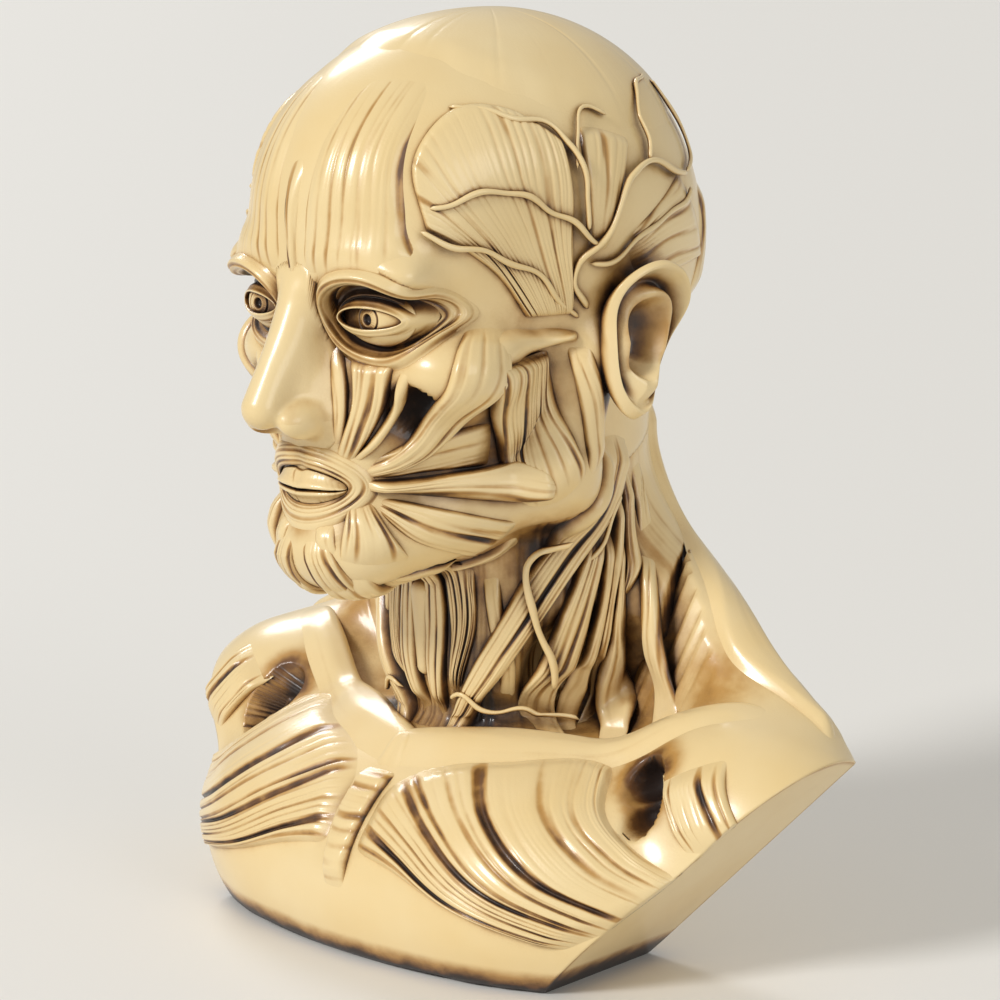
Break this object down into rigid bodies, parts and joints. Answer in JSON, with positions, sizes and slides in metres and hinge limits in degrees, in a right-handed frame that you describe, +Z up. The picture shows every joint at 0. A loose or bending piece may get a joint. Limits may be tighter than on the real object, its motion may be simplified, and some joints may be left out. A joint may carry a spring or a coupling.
{
  "type": "anatomical head model",
  "caption": "Half-size cast bust of a head, neck and upper chest without skin, showing the muscles, vessels, ear and eyes in antiqued ivory resin on a flat base",
  "frame": {"origin": "middle of the flat base, below the middle of the head", "axes": "+Z up, the face looks along -Y, +X is the model's left side"},
  "size_m": [0.1688, 0.1131, 0.1893],
  "materials": {
    "resin": "gloss"
  },
  "bodies": {
    "root": {"auricularis_l": "resin", "auricularis_r": "resin", "buccinators": "resin", "cheek_arch_l": "resin", "cheek_arch_r": "resin", "chest_block": "resin", "chin_depressors_l": "resin", "chin_depressors_r": "resin", "clavicle_l": "resin", "clavicle_r": "resin", "deltoid_l": "resin", "deltoid_r": "resin", "digastric_l": "resin", "digastric_r": "resin", "ear_l": "resin", "ear_r": "resin", "eyeball_l": "resin", "eyeball_r": "resin", "eyelids_l": "resin", "eyelids_r": "resin", "frontalis_l": "resin", "frontalis_r": "resin", "head_core": "resin", "larynx": "resin", "levators_l": "resin", "levators_r": "resin", "lips": "resin", "masseter_l": "resin", "masseter_r": "resin", "mentalis": "resin", "mylohyoid": "resin", "neck_core": "resin", "neck_vessels_l": "resin", "neck_vessels_r": "resin", "nose": "resin", "occipitalis": "resin", "orbicularis_oculi_l": "resin", "orbicularis_oculi_r": "resin", "orbicularis_oris": "resin", "pectoralis_l": "resin", "pectoralis_r": "resin", "procerus": "resin", "risorius_l": "resin", "risorius_r": "resin", "scalp_aponeurosis": "resin", "scalp_vessels_l": "resin", "scalp_vessels_r": "resin", "side_neck_l": "resin", "side_neck_r": "resin", "sternomastoid_l": "resin", "sternomastoid_r": "resin", "sternum": "resin", "temporalis_l": "resin", "temporalis_r": "resin", "throat_straps_l": "resin", "throat_straps_r": "resin", "trapezius_l": "resin", "trapezius_r": "resin", "zygomaticus_l": "resin", "zygomaticus_r": "resin"}
  },
  "joints": []
}
